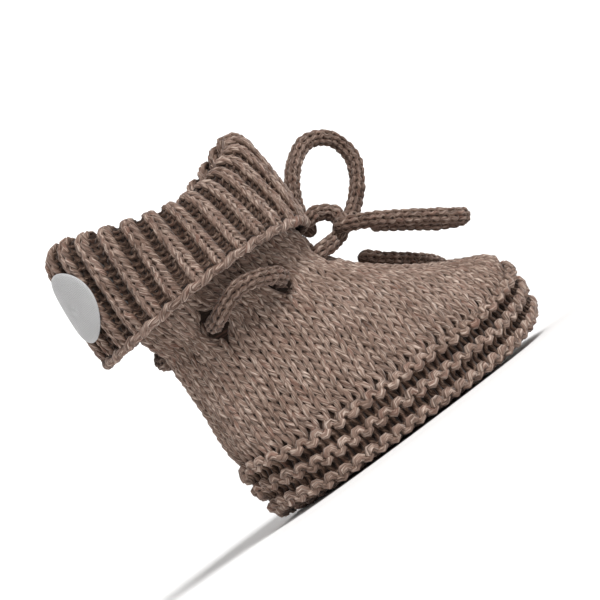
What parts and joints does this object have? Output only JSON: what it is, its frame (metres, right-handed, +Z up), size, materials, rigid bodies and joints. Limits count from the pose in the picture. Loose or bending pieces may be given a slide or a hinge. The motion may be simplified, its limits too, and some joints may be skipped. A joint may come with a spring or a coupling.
{
  "type": "knitted baby bootie",
  "caption": "Knitted baby bootie with a ridged band round a soft sole, a turned down rib cuff and a knitted cord tied in a bow.",
  "frame": {"origin": "on the floor under the middle of the bootie's bounding box, without the bow and the cord's ends", "axes": "+X to the toe, +Y to the wearer's left, +Z up"},
  "size_m": [0.1136, 0.0626, 0.0938],
  "materials": {
    "sole_wool": "matt brown melange wool, seed stitch",
    "upper_wool": "matt brown melange wool, stockinette and garter ridges",
    "cuff_wool": "matt brown melange wool, single rib",
    "cord_wool": "matt brown melange wool, knitted cord",
    "label_satin": "light grey woven satin"
  },
  "bodies": {
    "root": {"sole": "sole_wool", "upper": "upper_wool", "cuff": "cuff_wool", "label": "label_satin", "tie_front": "cord_wool", "tie_side_right": "cord_wool", "tie_side_left": "cord_wool", "bow_knot": "cord_wool", "bow_loop_right": "cord_wool", "bow_loop_left": "cord_wool", "tie_end_right": "cord_wool", "tie_end_left": "cord_wool"}
  },
  "joints": []
}
